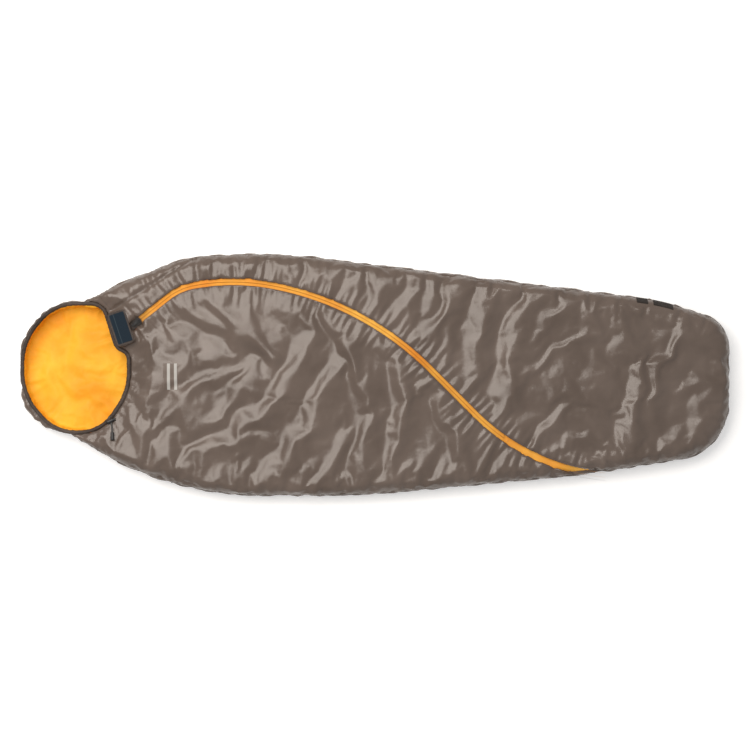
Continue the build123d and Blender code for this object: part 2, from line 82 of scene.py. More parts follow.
def set_points(mesh, co):
    mesh.vertices.foreach_set("co", np.asarray(co, dtype=np.float32).ravel())
    mesh.update()


def make_object(name, mesh):
    obj = bpy.data.objects.new(name, mesh)
    bpy.context.scene.collection.objects.link(obj)
    return obj


def joined_copy(name, node_names):
    """One new mesh that holds copies of several CAD nodes."""
    bm = bmesh.new()
    for node in node_names:
        bm.from_mesh(NODES[node].data)
    mesh = bpy.data.meshes.new(name)
    bm.to_mesh(mesh)
    bm.free()
    return make_object(name, mesh)


def apply_all(obj):
    """Turns an object with modifiers into its final plain mesh."""
    depsgraph = bpy.context.evaluated_depsgraph_get()
    final = bpy.data.meshes.new_from_object(obj.evaluated_get(depsgraph))
    old = obj.data
    obj.modifiers.clear()
    obj.data = final
    if old.users == 0:
        bpy.data.meshes.remove(old)
    return obj


def voxel_skin(name, node_names, size):
    obj = joined_copy(name, node_names)
    remesh = obj.modifiers.new("remesh", "REMESH")
    remesh.mode = "VOXEL"
    remesh.voxel_size = size
    return apply_all(obj)


def smooth_shade(obj):
    obj.data.polygons.foreach_set("use_smooth", [True] * len(obj.data.polygons))


def mesh_object(name, verts, faces, weld=0.0):
    """A smooth new object whose faces all point outwards; weld joins points that near."""
    mesh = bpy.data.meshes.new(name)
    mesh.from_pydata([tuple(v) for v in verts], [], faces)
    bm = bmesh.new()
    bm.from_mesh(mesh)
    if weld:
        bmesh.ops.remove_doubles(bm, verts=bm.verts, dist=weld)
    bmesh.ops.recalc_face_normals(bm, faces=bm.faces)
    bm.to_mesh(mesh)
    bm.free()
    obj = make_object(name, mesh)
    smooth_shade(obj)
    return obj


def surface_of(node_names):
    """A tree that finds the nearest surface point over several CAD nodes."""
    bm = bmesh.new()
    for node in node_names:
        bm.from_mesh(NODES[node].data)
    tree = BVHTree.FromBMesh(bm)
    bm.free()
    return tree


def nearest_distance(tree, points):
    return np.array([tree.find_nearest(Vector(p))[3] for p in points])


def face_arrays(mesh):
    count = len(mesh.polygons)
    centre = np.empty(count * 3)
    normal = np.empty(count * 3)
    mesh.polygons.foreach_get("center", centre)
    mesh.polygons.foreach_get("normal", normal)
    return centre.reshape(-1, 3), normal.reshape(-1, 3)


def smooth_noise(points, scale, seed=0.0):
    """Perlin noise in -1..1 at each point; scale is the size of one bump."""
    shift = Vector((seed * 17.3, seed * 5.1, seed * 9.7))
    return np.array([noise.noise(Vector(p) / scale + shift) for p in points])


def fall(distance, reach):
    """1 at no distance, easing to 0 at reach."""
    t = np.clip(1 - np.asarray(distance) / reach, 0, 1)
    return t * t * (3 - 2 * t)


# ------------------------------------------------------------------ routes
def turtle(start, heading, steps, spacing):
    """Points and headings along runs, each (length,) or (radius, turn in degrees)."""
    x, y = start
    angle = math.radians(heading)
    points, headings = [(x, y)], [angle]
    for step in steps:
        length = step[0] if len(step) == 1 else step[0] * abs(math.radians(step[1]))
        count = max(1, round(length / spacing))
        turn = 0 if len(step) == 1 else math.radians(step[1]) / count
        for _ in range(count):
            angle += turn / 2
            x += length / count * math.cos(angle)
            y += length / count * math.sin(angle)
            angle += turn / 2
            points.append((x, y))
            headings.append(angle)
    return np.array(points), np.array(headings)


def rounded_loop(corners, spacing):
    """Even points along a closed outline whose corners (x, y, radius) are rounded."""
    rough = []
    count = len(corners)
    for i, (x, y, radius) in enumerate(corners):
        here = Vector((x, y))
        to_before = (Vector(corners[i - 1][:2]) - here).normalized()
        to_after = (Vector(corners[(i + 1) % count][:2]) - here).normalized()
        half = to_before.angle(to_after) / 2
        reach = radius / math.tan(half)
        a, b = here + to_before * reach, here + to_after * reach
        middle = here + (to_before + to_after).normalized() * (radius / math.sin(half))
        start = math.atan2(a.y - middle.y, a.x - middle.x)
        sweep = math.atan2(b.y - middle.y, b.x - middle.x) - start
        sweep = (sweep + math.pi) % (2 * math.pi) - math.pi
        for k in range(17):
            angle = start + sweep * k / 16
            rough.append(middle + radius * Vector((math.cos(angle), math.sin(angle))))
    rough.append(rough[0])
    line = np.array([p[:] for p in rough])
    run = np.concatenate([[0], np.cumsum(np.linalg.norm(np.diff(line, axis=0), axis=1))])
    even = np.arange(0, run[-1], spacing)
    return np.stack([np.interp(even, run, line[:, 0]), np.interp(even, run, line[:, 1])], axis=1)


ZIP_START = (-0.747, 0.154)
ZIP_HEADING = 38.5
ZIP_STEPS = [(0.136,), (0.185, -27.8), (0.650, -20.7), (0.930, -35.0), (0.195,), (0.660, 40.0)]
ZIP_SPACING = 0.0015
FLAP_LENGTH = 1.208
TAIL_FROM = 1.335
TAPE_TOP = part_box("zip_tape_fixed")[1][2]
BODY_CORNERS = [
    (-0.905, 0.227, 0.0),
    (-0.790, 0.287, 0.400),
    (-0.572, 0.371, 0.450),
    (-0.290, 0.3785, 1.500),
    (0.880, 0.234, 0.700),
    (1.100, 0.164, 0.110),
    (1.100, -0.238, 0.180),
    (0.700, -0.303, 2.500),
    (-0.020, -0.375, 3.000),
    (-0.640, -0.375, 1.000),
    (-0.955, -0.178, 0.0),
]
RIM_CORNERS = [
    (-0.762, -0.050, 0.190),
    (-0.848, -0.1775, 0.130),
    (-0.992, -0.1775, 0.140),
    (-1.0925, -0.060, 0.190),
    (-1.0925, 0.104, 0.190),
    (-0.992, 0.2215, 0.140),
    (-0.843, 0.2215, 0.050),
    (-0.800, 0.084, 0.040),
    (-0.762, 0.066, 0.030),
]
zip_points, zip_angles = turtle(ZIP_START, ZIP_HEADING, ZIP_STEPS, ZIP_SPACING)
zip_run = np.concatenate([[0], np.cumsum(np.linalg.norm(np.diff(zip_points, axis=0), axis=1))])
rim_points = rounded_loop(RIM_CORNERS, 0.002)


def across_fold(points):
    """Distance from the fold line, above 0 on the flap's side."""
    return (np.asarray(points) - np.array(FOLD_POINT)) @ np.array(FOLD_NORMAL)


def along_fold(points):
    """Distance along the fold line from its neck end."""
    return (np.asarray(points) - np.array(FOLD_POINT)) @ np.array(FOLD_DIR)


def segment_distance(points, a, b):
    """Plan distance of each point from the segment a to b."""
    p = np.asarray(points)[:, :2]
    a, b = np.array(a), np.array(b)
    t = np.clip(((p - a) @ (b - a)) / ((b - a) @ (b - a)), 0, 1)
    return np.linalg.norm(p - (a + t[:, None] * (b - a)), axis=1)


# ------------------------------------------------------------------ cloth
CLOTH = {
    "quality": 5,
    "mass": 0.15,
    "tension_stiffness": 20,
    "compression_stiffness": 20,
    "shear_stiffness": 10,
    "tension_damping": 5,
    "compression_damping": 5,
    "shear_damping": 5,
    "air_damping": 2,
    "vertex_group_mass": "hold",
    "pin_stiffness": 1.0,
    "vertex_group_shrink": "grow",
    "shrink_min": -0.02,
    "shrink_max": -0.12,
}


def puff(skin, sim_faces, pin, growth, frames, bending):
    """Lets the chosen faces buckle as cloth a little too large for its seams.

    pin is each point's hold, 1 for a seam, and growth its share of the extra cloth."""
    mesh = skin.data
    used = np.zeros(len(mesh.vertices), bool)
    for index in np.flatnonzero(sim_faces):
        used[list(mesh.polygons[index].vertices)] = True
    old_index = np.flatnonzero(used)
    new_index = np.full(len(mesh.vertices), -1)
    new_index[old_index] = np.arange(len(old_index))
    faces = [new_index[list(mesh.polygons[i].vertices)].tolist() for i in np.flatnonzero(sim_faces)]
    co = points_of(mesh)
    sheet_mesh = bpy.data.meshes.new("sim")
    sheet_mesh.from_pydata(co[old_index].tolist(), [], faces)
    sheet = make_object("sim", sheet_mesh)
    bm = bmesh.new()
    bm.from_mesh(sheet_mesh)
    edge = np.array([v.is_boundary for v in bm.verts])
    bm.free()
    hold = np.maximum(pin[old_index], edge)
    hold_group = sheet.vertex_groups.new(name="hold")
    grow_group = sheet.vertex_groups.new(name="grow")
    for i, (h, g) in enumerate(zip(hold, growth[old_index])):
        hold_group.add([i], float(h), "REPLACE")
        grow_group.add([i], float(g), "REPLACE")
    cloth = sheet.modifiers.new("cloth", "CLOTH")
    settings = cloth.settings
    for field, value in CLOTH.items():
        setattr(settings, field, value)
    settings.bending_stiffness = bending
    settings.effector_weights.gravity = 0
    cloth.collision_settings.use_collision = False
    cloth.collision_settings.use_self_collision = False
    cloth.point_cache.frame_end = frames + 1
    scene = bpy.context.scene
    for number in range(1, frames + 1):
        scene.frame_set(number)
    result = sheet.evaluated_get(bpy.context.evaluated_depsgraph_get())
    co[old_index] = points_of(result.data)
    set_points(mesh, co)
    bpy.data.objects.remove(sheet)
    scene.frame_set(1)


# ------------------------------------------------------------------ materials
def new_material(name, colour, rough, specular=0.5, sheen=0.0):
    """A Principled material with its even values set on the shader's own sockets."""
    material = bpy.data.materials.new(name)
    material.use_nodes = True
    shader = material.node_tree.nodes["Principled BSDF"]
    values = {
        "Base Color": (*colour, 1),
        "Roughness": rough,
        "Specular IOR Level": specular,
        "Sheen Weight": sheen,
    }
    for socket, value in values.items():
        shader.inputs[socket].default_value = value
    return material, shader, material.node_tree


def place(tree, turn=(0, 0, 0), stretch=(1, 1, 1)):
    """Object coordinates, turned and stretched."""
    where = tree.nodes.new("ShaderNodeTexCoord")
    mapping = tree.nodes.new("ShaderNodeMapping")
    mapping.inputs["Rotation"].default_value = turn
    mapping.inputs["Scale"].default_value = stretch
    tree.links.new(where.outputs["Object"], mapping.inputs["Vector"])
    return mapping.outputs["Vector"]


def noise_field(tree, vector, scale, detail=3.0, kind="FBM", distortion=0.0):
    field = tree.nodes.new("ShaderNodeTexNoise")
    field.noise_type = kind
    field.inputs["Scale"].default_value = scale
    field.inputs["Detail"].default_value = detail
    field.inputs["Distortion"].default_value = distortion
    tree.links.new(vector, field.inputs["Vector"])
    return field.outputs["Fac"]


def bands(tree, vector, scale, axis="X", distortion=0.0):
    wave = tree.nodes.new("ShaderNodeTexWave")
    wave.bands_direction = axis
    wave.inputs["Scale"].default_value = scale
    wave.inputs["Distortion"].default_value = distortion
    tree.links.new(vector, wave.inputs["Vector"])
    return wave.outputs["Fac"]


def blend_colours(tree, shader, factor, low, high, start=0.3, end=0.7):
    ramp = tree.nodes.new("ShaderNodeValToRGB")
    ramp.color_ramp.elements[0].position = start
    ramp.color_ramp.elements[0].color = (*low, 1)
    ramp.color_ramp.elements[1].position = end
    ramp.color_ramp.elements[1].color = (*high, 1)
    tree.links.new(factor, ramp.inputs["Fac"])
    tree.links.new(ramp.outputs["Color"], shader.inputs["Base Color"])
    return ramp


def vary_roughness(tree, shader, factor, low, high):
    spread = tree.nodes.new("ShaderNodeMapRange")
    spread.inputs["From Min"].default_value = 0.3
    spread.inputs["From Max"].default_value = 0.7
    spread.inputs["To Min"].default_value = low
    spread.inputs["To Max"].default_value = high
    tree.links.new(factor, spread.inputs["Value"])
    tree.links.new(spread.outputs["Result"], shader.inputs["Roughness"])


def relief(tree, shader, layers):
    """Bump from several fields, each with its own depth in metres."""
    before = None
    for field, depth in layers:
        bump = tree.nodes.new("ShaderNodeBump")
        bump.inputs["Strength"].default_value = 1.0
        bump.inputs["Distance"].default_value = depth
        tree.links.new(field, bump.inputs["Height"])
        if before is not None:
            tree.links.new(before, bump.inputs["Normal"])
        before = bump.outputs["Normal"]
    tree.links.new(before, shader.inputs["Normal"])


def woven(name, low, high, rough, thread, depth, crinkle=(), specular=0.5, sheen=0.0):
    """A woven cloth: crossed threads, cloudy colour, and crinkles of (scale, depth, kind)."""
    material, shader, tree = new_material(name, high, sum(rough) / 2, specular, sheen=sheen)
    flat = place(tree)
    cloud = noise_field(tree, flat, 9.0, 5.0)
    blend_colours(tree, shader, cloud, low, high)
    vary_roughness(tree, shader, noise_field(tree, flat, 23.0, 4.0), *rough)
    layers = [(bands(tree, flat, thread, "X"), depth), (bands(tree, flat, thread, "Y"), depth)]
    for scale, deep, kind in crinkle:
        layers.append((noise_field(tree, flat, scale, 4.0, kind, 0.4), deep))
    relief(tree, shader, layers)
    return material


def paint_zip_start_shade(material, dark, reach=0.030, fade=0.045):
    """Darkens the zip's neck end with painted shade from the tab and slider: near black within
    reach, over the turned-under tape end, and a lighter painted shade fading out beyond it.
    """
    tree = material.node_tree
    shader = tree.nodes["Principled BSDF"]
    base = shader.inputs["Base Color"].links[0].from_socket
    where = tree.nodes.new("ShaderNodeTexCoord")
    away = tree.nodes.new("ShaderNodeVectorMath")
    away.operation = "DISTANCE"
    away.inputs[1].default_value = (*ZIP_START, TAPE_TOP)
    tree.links.new(where.outputs["Object"], away.inputs[0])
    # painted shade in two passes: a light one fading out between reach and reach + fade, then near
    # black within reach
    for first, last, share in ((reach, reach + fade, 0.35), (reach - 0.002, reach + 0.002, 1.0)):
        span = tree.nodes.new("ShaderNodeMapRange")
        span.inputs["From Min"].default_value = first
        span.inputs["From Max"].default_value = last
        span.inputs["To Min"].default_value = share
        span.inputs["To Max"].default_value = 0.0
        tree.links.new(away.outputs["Value"], span.inputs["Value"])
        over = tree.nodes.new("ShaderNodeMix")
        over.data_type = "RGBA"
        over.inputs["B"].default_value = (*dark, 1)
        tree.links.new(span.outputs["Result"], over.inputs["Factor"])
        tree.links.new(base, over.inputs["A"])
        base = over.outputs["Result"]
    tree.links.new(base, shader.inputs["Base Color"])


SHELL = woven(
    "taupe_nylon",
    (0.098, 0.071, 0.056),
    (0.132, 0.099, 0.081),
    (0.18, 0.26),
    260.0,
    0.00002,
    [(13.0, 0.0016, "RIDGED_MULTIFRACTAL"), (60.0, 0.0003, "FBM")],
    0.5,
)
LINING = woven(
    "orange_lining",
    (0.84, 0.33, 0.013),
    (0.97, 0.50, 0.034),
    (0.5, 0.65),
    300.0,
    0.00003,
    [
        (9.0, 0.010, "RIDGED_MULTIFRACTAL"),
        (26.0, 0.0030, "RIDGED_MULTIFRACTAL"),
        (70.0, 0.0010, "FBM"),
    ],
    0.25,
)
RIM = woven(
    "taupe_binding",
    (0.026, 0.019, 0.016),
    (0.080, 0.060, 0.050),
    (0.34, 0.5),
    320.0,
    0.00005,
    [(60.0, 0.0030, "FBM"), (150.0, 0.0008, "FBM")],
    0.2,
)
TAPE = woven(
    "orange_zip_tape",
    (0.80, 0.27, 0.018),
    (0.97, 0.50, 0.070),
    (0.5, 0.7),
    420.0,
    0.00012,
    [(55.0, 0.0004, "FBM")],
    0.4,
)
COIL = woven("orange_coil", (0.70, 0.27, 0.030), (0.80, 0.34, 0.040), (0.3, 0.42), 400.0, 0.00004)
# thread darker than the shell: partly the stitching, partly painted shade along the seams
THREAD_AND_SEAM_SHADE = woven("dark_thread_and_painted_seam_shade", (0.03, 0.023, 0.02), (0.05, 0.04, 0.035), (0.5, 0.7), 900.0, 0.00005)
ZIP_THREAD = woven(
    "orange_thread", (0.55, 0.22, 0.025), (0.66, 0.28, 0.035), (0.5, 0.7), 900.0, 0.00005
)
# painted shade at the zip's neck end, beside the tab and slider, over the turned-under tape
for zip_material in (TAPE, COIL, ZIP_THREAD):
    paint_zip_start_shade(zip_material, (0.020, 0.015, 0.012))
TOUCH = woven(
    "touch_tape",
    (0.018, 0.018, 0.02),
    (0.04, 0.04, 0.043),
    (0.75, 0.95),
    380.0,
    0.0003,
    [(300.0, 0.0006, "FBM")],
    0.15,
    0.1,
)
WEBBING = woven(
    "black_webbing",
    (0.022, 0.018, 0.016),
    (0.048, 0.040, 0.035),
    (0.6, 0.8),
    330.0,
    0.0003,
    [(120.0, 0.0002, "FBM")],
    0.2,
)
CORD_LOOK = woven(
    "elastic_cord", (0.016, 0.016, 0.017), (0.16, 0.155, 0.15), (0.5, 0.7), 420.0, 0.0002
)


def black_plastic():
    material, shader, tree = new_material("black_plastic", (0.014, 0.014, 0.015), 0.4)
    flat = place(tree)
    grain = noise_field(tree, flat, 700.0, 3.0)
    blend_colours(tree, shader, grain, (0.010, 0.010, 0.011), (0.022, 0.022, 0.023))
    vary_roughness(tree, shader, noise_field(tree, flat, 90.0, 3.0), 0.34, 0.5)
    relief(tree, shader, [(grain, 0.00004)])
    return material


def black_enamel():
    material, shader, tree = new_material(
        "black_enamel", (0.010, 0.010, 0.011), 0.5, 0.25
    )
    flat = place(tree)
    wear = noise_field(tree, flat, 260.0, 5.0)
    blend_colours(tree, shader, wear, (0.008, 0.008, 0.009), (0.022, 0.021, 0.020), 0.45, 0.85)
    vary_roughness(tree, shader, wear, 0.42, 0.6)
    relief(tree, shader, [(wear, 0.00003)])
    return material


def label_weave():
    """A navy woven label with one plain pale line across it and no words."""
    material, shader, tree = new_material("navy_label", (0.010, 0.019, 0.030), 0.75, 0.15)
    low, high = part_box("neck_tab_label")
    middle = (Vector(low) + Vector(high)) / 2
    where = tree.nodes.new("ShaderNodeTexCoord")
    mapping = tree.nodes.new("ShaderNodeMapping")
    mapping.vector_type = "TEXTURE"
    mapping.inputs["Location"].default_value = middle
    mapping.inputs["Rotation"].default_value = (0, 0, math.radians(18.4))
    tree.links.new(where.outputs["Object"], mapping.inputs["Vector"])
    local = mapping.outputs["Vector"]
    weave = bands(tree, local, 300.0, "Y")
    twill = bands(tree, local, 300.0, "DIAGONAL")
    split_up = tree.nodes.new("ShaderNodeSeparateXYZ")
    tree.links.new(local, split_up.inputs["Vector"])
    line = tree.nodes.new("ShaderNodeMath")
    line.operation = "COMPARE"
    line.inputs[1].default_value = -0.010
    line.inputs[2].default_value = 0.0011
    tree.links.new(split_up.outputs["X"], line.inputs[0])
    cloth = tree.nodes.new("ShaderNodeMix")
    cloth.data_type = "RGBA"
    cloth.inputs["A"].default_value = (0.006, 0.013, 0.021, 1)
    cloth.inputs["B"].default_value = (0.014, 0.025, 0.038, 1)
    tree.links.new(twill, cloth.inputs["Factor"])
    over = tree.nodes.new("ShaderNodeMix")
    over.data_type = "RGBA"
    over.inputs["B"].default_value = (0.032, 0.048, 0.060, 1)
    tree.links.new(line.outputs["Value"], over.inputs["Factor"])
    tree.links.new(cloth.outputs["Result"], over.inputs["A"])
    tree.links.new(over.outputs["Result"], shader.inputs["Base Color"])
    relief(tree, shader, [(weave, 0.0001), (twill, 0.0001)])
    return material


def printed_film():
    """A plain pale print: two soft bars, no picture and no words."""
    material, shader, tree = new_material("pale_print", (0.42, 0.40, 0.37), 0.45, 0.3)
    low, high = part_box("chest_patch")
    flat = place(tree)
    where = tree.nodes.new("ShaderNodeMapping")
    where.vector_type = "TEXTURE"
    where.inputs["Location"].default_value = (Vector(low) + Vector(high)) / 2
    tree.links.new(flat, where.inputs["Vector"])
    wave = tree.nodes.new("ShaderNodeTexWave")
    wave.bands_direction = "X"
    wave.inputs["Scale"].default_value = 14.6
    wave.inputs["Phase Offset"].default_value = -math.pi / 2
    tree.links.new(where.outputs["Vector"], wave.inputs["Vector"])
    bars = wave.outputs["Fac"]
    blend_colours(tree, shader, bars, (0.125, 0.095, 0.078), (0.40, 0.385, 0.36), 0.55, 0.68)
    vary_roughness(tree, shader, noise_field(tree, flat, 300.0, 4.0), 0.36, 0.5)
    relief(tree, shader, [(bars, 0.0001), (noise_field(tree, flat, 260.0, 3.0), 0.0001)])
    return material


PLASTIC = black_plastic()
ENAMEL = black_enamel()
LABEL = label_weave()
PRINT = printed_film()


def dress(obj, material):
    obj.data.materials.clear()
    obj.data.materials.append(material)


# ------------------------------------------------------------------ fabric skins
def drop_islands(obj):
    """Keeps only the largest connected piece of the mesh."""
    bm = bmesh.new()
    bm.from_mesh(obj.data)
    seen, islands = set(), []
    for seed in bm.verts:
        if seed in seen:
            continue
        stack, island = [seed], []
        seen.add(seed)
        while stack:
            vert = stack.pop()
            island.append(vert)
            for link in vert.link_edges:
                other = link.other_vert(vert)
                if other not in seen:
                    seen.add(other)
                    stack.append(other)
        islands.append(island)
    islands.sort(key=len, reverse=True)
    for island in islands[1:]:
        bmesh.ops.delete(bm, geom=island, context="VERTS")
    bm.to_mesh(obj.data)
    bm.free()


def vertex_normals(mesh):
    normal = np.empty(len(mesh.vertices) * 3)
    mesh.vertices.foreach_get("normal", normal)
    return normal.reshape(-1, 3)


def relax(mesh, rounds, strength=0.5):
    """Evens out the remesher's steps; boundary points stay."""
    count = len(mesh.edges)
    pairs = np.empty(count * 2, np.int32)
    mesh.edges.foreach_get("vertices", pairs)
    a, b = pairs.reshape(-1, 2).T
    co = points_of(mesh)
    degree = np.bincount(a, minlength=len(co)) + np.bincount(b, minlength=len(co))
    bm = bmesh.new()
    bm.from_mesh(mesh)
    free = np.array([not v.is_boundary for v in bm.verts])
    bm.free()
    for _ in range(rounds):
        total = np.zeros_like(co)
        np.add.at(total, a, co[b])
        np.add.at(total, b, co[a])
        mean = total / np.maximum(degree, 1)[:, None]
        co[free] += strength * (mean[free] - co[free])
    set_points(mesh, co)


def cut_piece(skin, name, chosen):
    """A new object from some faces of a skin, shaded as part of the whole."""
    mesh = skin.data
    normals = vertex_normals(mesh)
    co = points_of(mesh)
    faces = [list(mesh.polygons[i].vertices) for i in np.flatnonzero(chosen)]
    used = np.unique(np.concatenate(faces))
    place_of = np.full(len(co), -1)
    place_of[used] = np.arange(len(used))
    part = bpy.data.meshes.new(name)
    part.from_pydata(co[used].tolist(), [], [place_of[f].tolist() for f in faces])
    part.validate()
    piece = make_object(name, part)
    smooth_shade(piece)
    part.normals_split_custom_set_from_vertices(normals[used].tolist())
    return piece


def plan_tree(points):
    tree = KDTree(len(points))
    for i, p in enumerate(points):
        tree.insert((p[0], p[1], 0), i)
    tree.balance()
    return tree


def nearest_on(tree, points):
    """Index and plan distance of the nearest line point."""
    found = [tree.find((p[0], p[1], 0)) for p in points]
    return np.array([f[1] for f in found]), np.array([f[2] for f in found])


def ripples(line_points, wavelength, reach, height, nearest, distance, seed):
    """Small waves that run square to a line and die away from it."""
    anchor = np.column_stack([line_points[nearest], distance * 0.25])
    return smooth_noise(anchor, wavelength, seed) * fall(distance, reach) * height


def fold_seed(points, route, width, height):
    """A long fold: the cloth steps up to the right of the route and dies out at its ends."""
    best = np.full(len(points), 9.0)
    step = np.zeros(len(points))
    for i, (a, b) in enumerate(zip(route, route[1:])):
        a, b = np.array(a), np.array(b)
        along = (b - a) / np.linalg.norm(b - a)
        away = points[:, :2] - a
        gap = segment_distance(points, a, b)
        right = away[:, 0] * along[1] - away[:, 1] * along[0]
        run = away @ along
        past = np.maximum(-run if i == 0 else 0, 0)
        if i == len(route) - 2:
            past = np.maximum(past, run - np.linalg.norm(b - a))
        closer = gap < best
        shape = right / width * np.exp(-((right / width) ** 2)) * np.exp(-((past / 0.03) ** 2))
        step = np.where(closer, shape, step)
        best = np.minimum(best, gap)
    return 2.2 * height * step


# The long folds, each from its low end to its high end along the fold.
FOLDS = [
    ([(-0.349, 0.054), (-0.488, 0.132), (-0.628, 0.191)], 0.032, 0.0042),
    ([(-0.349, 0.054), (-0.432, 0.138), (-0.510, 0.215)], 0.029, 0.0038),
    ([(-0.488, -0.110), (-0.408, -0.026), (-0.349, 0.054)], 0.038, 0.0046),
    ([(-0.430, -0.150), (-0.315, -0.070), (-0.302, 0.005), (-0.231, 0.086)], 0.035, 0.0046),
    ([(-0.225, -0.140), (-0.160, -0.008), (-0.098, 0.085)], 0.032, 0.0038),
    ([(-0.085, 0.014), (-0.138, 0.138), (-0.165, 0.215)], 0.029, 0.0034),
    ([(-0.640, -0.110), (-0.560, -0.010), (-0.440, 0.020)], 0.029, 0.0034),
    ([(-0.590, -0.040), (-0.500, -0.012), (-0.400, -0.035)], 0.023, 0.0025),
    ([(-0.300, -0.250), (-0.260, -0.170), (-0.180, -0.140)], 0.035, 0.0034),
    ([(-0.560, -0.230), (-0.470, -0.190), (-0.330, -0.180)], 0.026, 0.0025),
    ([(0.033, -0.240), (0.079, -0.079), (0.020, 0.060)], 0.029, 0.0034),
    ([(0.240, -0.234), (0.190, -0.100), (0.130, 0.020)], 0.029, 0.0034),
    ([(-0.060, -0.270), (-0.030, -0.120), (-0.070, 0.000)], 0.032, 0.0034),
    ([(0.380, -0.110), (0.390, -0.010), (0.415, 0.130), (0.475, 0.270)], 0.035, 0.0042),
    ([(0.296, 0.130), (0.310, 0.200), (0.345, 0.280)], 0.029, 0.0034),
    ([(0.160, 0.150), (0.215, 0.220), (0.240, 0.300)], 0.026, 0.0034),
    ([(0.755, -0.203), (0.775, -0.100), (0.800, 0.010)], 0.032, 0.0038),
    ([(0.840, -0.050), (0.860, 0.020), (0.910, 0.100)], 0.026, 0.0034),
    ([(0.482, -0.215), (0.520, -0.160), (0.575, -0.100)], 0.023, 0.0034),
    ([(0.430, 0.010), (0.500, 0.030), (0.580, 0.090)], 0.020, 0.0021),
]

FRONT = ["front_shell", "front_insulation", "front_lining"]
FLAP = ["flap_shell", "flap_insulation", "flap_lining"]
LOWER = ["back_shell", "back_insulation", "back_lining", "side_shell", "side_insulation"]
LOWER += ["side_lining", "hood_shell", "hood_lining"]
HOOD_INSULATION = [f"hood_insulation_{i}" for i in range(1, 5)]
LOWER += HOOD_INSULATION
ZIP_TREE = plan_tree(zip_points)
RIM_TREE = plan_tree(rim_points)
CEILING = TOP + 0.0165
SOFT_CEILING = CEILING - 0.006
MOST_MOVE = 0.024
TAB_LOW, TAB_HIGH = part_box("neck_tab")
PATCH_LOW, PATCH_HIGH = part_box("chest_patch")
TAPE_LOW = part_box("zip_tape_fixed")[0][2]

front = voxel_skin("front_skin", FRONT + FLAP, VOXEL)
drop_islands(front)
relax(front.data, 2)
centre, normal = face_arrays(front.data)
under = (centre[:, 2] < FRONT_BOTTOM + 0.004) & (normal[:, 2] < -0.3)
flap_side = nearest_distance(surface_of(FLAP), centre) < nearest_distance(surface_of(FRONT), centre)
co = points_of(front.data)
rest_co = co.copy()
zip_index, zip_gap = nearest_on(ZIP_TREE, co)
rim_index, rim_gap = nearest_on(RIM_TREE, co)
edge_points = rounded_loop(BODY_CORNERS, 0.003)
EDGE_TREE = plan_tree(edge_points)
edge_index, edge_gap = nearest_on(EDGE_TREE, co)


def near_loops(points):
    """1 beside the two hang loops, so that they stay proud of the cloth."""
    share = np.zeros(len(points))
    for name in ("hang_loop_1", "hang_loop_2"):
        low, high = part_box(name)
        dx = np.maximum(np.maximum(low[0] - points[:, 0], points[:, 0] - high[0]), 0)
        dy = np.maximum(low[1] - 0.004 - points[:, 1], 0)
        share = np.maximum(share, fall(np.hypot(dx, dy), 0.03))
    return share


CHANNEL_HALF = 0.0145  # the trench that the tape lies in
LIP_HALF = 0.0098  # how near to the zip's middle the cloth comes
in_channel = (zip_gap < CHANNEL_HALF) & (co[:, 2] < TAPE_TOP + 0.001)
hold = np.full(len(co), 0.05)
hold = np.maximum(hold, np.clip((FRONT_BOTTOM + 0.012 - co[:, 2]) / 0.004, 0, 1))
hold = np.maximum(hold, in_channel)
hold = np.maximum(hold, fall(rim_gap, 0.012))
hold = np.maximum(hold, near_loops(co))
at_foot = np.clip((co[:, 0] - 0.45) / 0.25, 0, 1)
growth = 0.38 - 0.16 * at_foot + 0.40 * fall(zip_gap, 0.12) + 0.40 * fall(edge_gap, 0.09)
growth = np.clip(growth, 0, 1)
rest_normal = vertex_normals(front.data)
above = np.array([0.0, 0.0, 1.0]) * 0.6 + rest_normal * 0.4
seeds = smooth_noise(co, 0.045, 1) * 0.0024 + smooth_noise(co, 0.11, 9) * 0.003
wander = co.copy()
wander[:, 0] += smooth_noise(co, 0.08, 11) * 0.030 + smooth_noise(co, 0.03, 13) * 0.006
wander[:, 1] += smooth_noise(co, 0.08, 12) * 0.030
for route, width, height in FOLDS:
    seeds += fold_seed(wander, route, width, height) * (1 - fall(zip_gap, 0.03))
seeds += ripples(zip_points, 0.016, 0.10, 0.006, zip_index, zip_gap, 2)
seeds += ripples(edge_points, 0.022, 0.09, 0.006, edge_index, edge_gap, 3)
seeds += ripples(rim_points, 0.014, 0.06, 0.003, rim_index, rim_gap, 4)
co += above * (seeds * (hold < 0.9))[:, None]
set_points(front.data, co)
puff(front, ~under, hold, growth, 20, 0.5)

co = points_of(front.data)
moved = co - rest_co
size = np.linalg.norm(moved, axis=1)
co = rest_co + moved * np.minimum(1, MOST_MOVE / np.maximum(size, 1e-9))[:, None]
room = CEILING - SOFT_CEILING
eased = CEILING - room * np.exp(-(co[:, 2] - CEILING + room) / room)
co[:, 2] = np.where(co[:, 2] > SOFT_CEILING, eased, co[:, 2])


def seat(points, low, high, margin, level):
    """Keeps points under a flat piece that lies on the fabric."""
    dx = np.maximum(np.maximum(low[0] - points[:, 0], points[:, 0] - high[0]), 0)
    dy = np.maximum(np.maximum(low[1] - points[:, 1], points[:, 1] - high[1]), 0)
    near = fall(np.hypot(dx, dy), margin)
    over = np.maximum(points[:, 2] - level, 0)
    points[:, 2] -= over * near


seat(co, TAB_LOW, TAB_HIGH, 0.02, TOP - 0.0004)
for name in ("cord_lock_body", "slider_body"):
    low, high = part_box(name)
    seat(co, low, high, 0.012, low[2] + 0.003)

